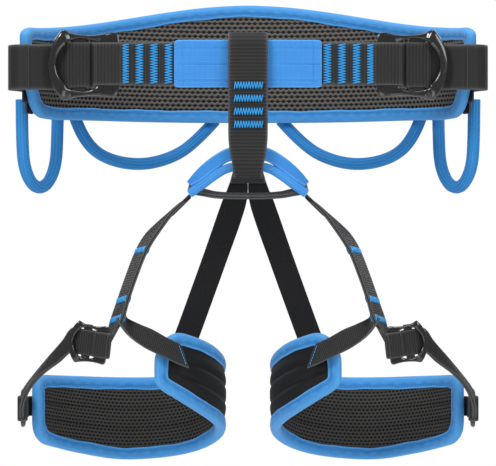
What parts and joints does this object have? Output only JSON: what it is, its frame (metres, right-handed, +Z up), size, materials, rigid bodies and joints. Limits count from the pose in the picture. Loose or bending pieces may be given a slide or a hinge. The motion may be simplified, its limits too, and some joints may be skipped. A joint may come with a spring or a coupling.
{
  "type": "climbing harness",
  "caption": "Sit harness in its worn shape: padded waist belt, blue gear loops, ribbed belay loop, stitched bridge and padded leg loops on adjustable webbing.",
  "frame": {"origin": "centre of the waist ring, at the height of the waist webbing", "axes": "+Z up along the wearer's body, the wearer faces -Y, +X to the right as seen from the front"},
  "size_m": [0.4624, 0.2485, 0.4671],
  "materials": {
    "pad_mesh": "open warp-knit spacer mesh over dark foam",
    "foam": "closed-cell foam, hidden",
    "pad_cover": "smooth woven nylon",
    "blue_binding": "soft brushed binding tape",
    "buckle_metal": "gloss black anodised aluminium",
    "black_webbing": "ribbed nylon webbing",
    "ring_metal": "black coated steel wire",
    "elastic": "flat knitted elastic",
    "blue_thread": "zigzag polyester thread",
    "blue_webbing": "fine ribbed nylon tape",
    "blue_sheath": "ribbed tubular nylon tape",
    "core_cord": "formed plastic core, hidden"
  },
  "bodies": {
    "waist_belt": {"waist_pad_lining": "pad_mesh", "waist_pad_foam": "foam", "waist_pad_shell": "pad_cover", "waist_pad_binding": "blue_binding", "waist_webbing": "black_webbing", "pad_end_patches": "black_webbing", "tail_keeper_left": "elastic", "tail_keeper_right": "elastic", "front_webbing": "black_webbing", "tie_in_sleeve": "blue_webbing", "front_bartacks": "blue_thread", "gear_loop_tabs": "black_webbing", "waist_buckle_frame_left": "buckle_metal", "waist_buckle_frame_right": "buckle_metal", "tie_in_bridge": "black_webbing", "bridge_sleeve": "blue_webbing", "bridge_piping": "blue_webbing", "cross_strap": "black_webbing", "riser_anchor": "black_webbing", "riser_left": "elastic", "riser_right": "elastic"},
    "belay_loop": {"belay_loop": "black_webbing", "belay_loop_overlay": "black_webbing", "belay_loop_bartacks": "blue_thread"},
    "leg_loop_left": {"leg_pad_lining_left": "pad_mesh", "leg_pad_foam_left": "foam", "leg_pad_shell_left": "pad_cover", "leg_pad_binding_left": "blue_binding", "leg_webbing_left": "black_webbing", "inner_strap_left": "black_webbing", "adjust_strap_left": "black_webbing", "leg_buckle_frame_left": "buckle_metal", "leg_ring_tab_left": "black_webbing", "leg_bartacks_left": "blue_thread"},
    "leg_loop_right": {"leg_pad_lining_right": "pad_mesh", "leg_pad_foam_right": "foam", "leg_pad_shell_right": "pad_cover", "leg_pad_binding_right": "blue_binding", "leg_webbing_right": "black_webbing", "inner_strap_right": "black_webbing", "adjust_strap_right": "black_webbing", "leg_buckle_frame_right": "buckle_metal", "leg_ring_tab_right": "black_webbing", "leg_bartacks_right": "blue_thread"},
    "waist_slider_left": {"waist_buckle_slider_left": "buckle_metal"},
    "leg_slider_left": {"leg_buckle_slider_left": "buckle_metal"},
    "leg_ring_left": {"leg_ring_left": "ring_metal"},
    "gear_loop_front_left": {"gear_loop_front_sheath_left": "blue_sheath", "gear_loop_front_core_left": "core_cord"},
    "gear_loop_rear_left": {"gear_loop_rear_sheath_left": "blue_sheath", "gear_loop_rear_core_left": "core_cord"},
    "waist_slider_right": {"waist_buckle_slider_right": "buckle_metal"},
    "leg_slider_right": {"leg_buckle_slider_right": "buckle_metal"},
    "leg_ring_right": {"leg_ring_right": "ring_metal"},
    "gear_loop_front_right": {"gear_loop_front_sheath_right": "blue_sheath", "gear_loop_front_core_right": "core_cord"},
    "gear_loop_rear_right": {"gear_loop_rear_sheath_right": "blue_sheath", "gear_loop_rear_core_right": "core_cord"}
  },
  "joints": [
    {"name": "belay_loop_swing", "type": "hinge", "parent": "waist_belt", "child": "belay_loop", "pos_m": [0, -0.113, -0.0065], "axis": [1, 0, 0], "range_deg": [-1.5, 1.5]},
    {"name": "leg_loop_left_swing", "type": "hinge", "parent": "waist_belt", "child": "leg_loop_left", "pos_m": [-0.06, -0.095, -0.13], "axis": [-1, 0, 0], "range_deg": [-5, 30], "stiffness_Nm_per_rad": 0.6, "springref_deg": -11.46, "deforming": ["riser_left"]},
    {"name": "leg_loop_right_swing", "type": "hinge", "parent": "waist_belt", "child": "leg_loop_right", "pos_m": [0.06, -0.095, -0.13], "axis": [-1, 0, 0], "range_deg": [-5, 30], "stiffness_Nm_per_rad": 0.6, "springref_deg": -11.46, "deforming": ["riser_right"]},
    {"name": "gear_loop_front_left_lift", "type": "hinge", "parent": "waist_belt", "child": "gear_loop_front_left", "pos_m": [-0.22257, -0.04814, -0.041], "axis": [0.4519, 0.8902, -0.0575], "range_deg": [0, 40]},
    {"name": "gear_loop_rear_left_lift", "type": "hinge", "parent": "waist_belt", "child": "gear_loop_rear_left", "pos_m": [-0.17609, 0.03222, -0.049], "axis": [0.8694, 0.4935, -0.0245], "range_deg": [0, 40]},
    {"name": "gear_loop_front_right_lift", "type": "hinge", "parent": "waist_belt", "child": "gear_loop_front_right", "pos_m": [0.22257, -0.04814, -0.041], "axis": [0.4519, -0.8902, 0.0575], "range_deg": [0, 40]},
    {"name": "gear_loop_rear_right_lift", "type": "hinge", "parent": "waist_belt", "child": "gear_loop_rear_right", "pos_m": [0.17609, 0.03222, -0.049], "axis": [0.8694, -0.4935, 0.0245], "range_deg": [0, 40]},
    {"name": "waist_slider_left_slide", "type": "slide", "parent": "waist_belt", "child": "waist_slider_left", "axis": [0.9925, -0.1219, 0], "range_m": [0, 0.0035]},
    {"name": "waist_slider_right_slide", "type": "slide", "parent": "waist_belt", "child": "waist_slider_right", "axis": [-0.9925, -0.1219, 0], "range_m": [0, 0.0035]},
    {"name": "leg_slider_left_slide", "type": "slide", "parent": "leg_loop_left", "child": "leg_slider_left", "axis": [0.9056, -0.4062, -0.1217], "range_m": [0, 0.002]},
    {"name": "leg_slider_right_slide", "type": "slide", "parent": "leg_loop_right", "child": "leg_slider_right", "axis": [-0.9056, -0.4062, -0.1217], "range_m": [0, 0.002]},
    {"name": "leg_ring_left_tilt", "type": "hinge", "parent": "leg_loop_left", "child": "leg_ring_left", "pos_m": [-0.223, -0.0155, -0.343], "axis": [0, 0, 1], "range_deg": [-2, 2]},
    {"name": "leg_ring_right_tilt", "type": "hinge", "parent": "leg_loop_right", "child": "leg_ring_right", "pos_m": [0.223, -0.0155, -0.343], "axis": [0, 0, 1], "range_deg": [-2, 2]}
  ]
}
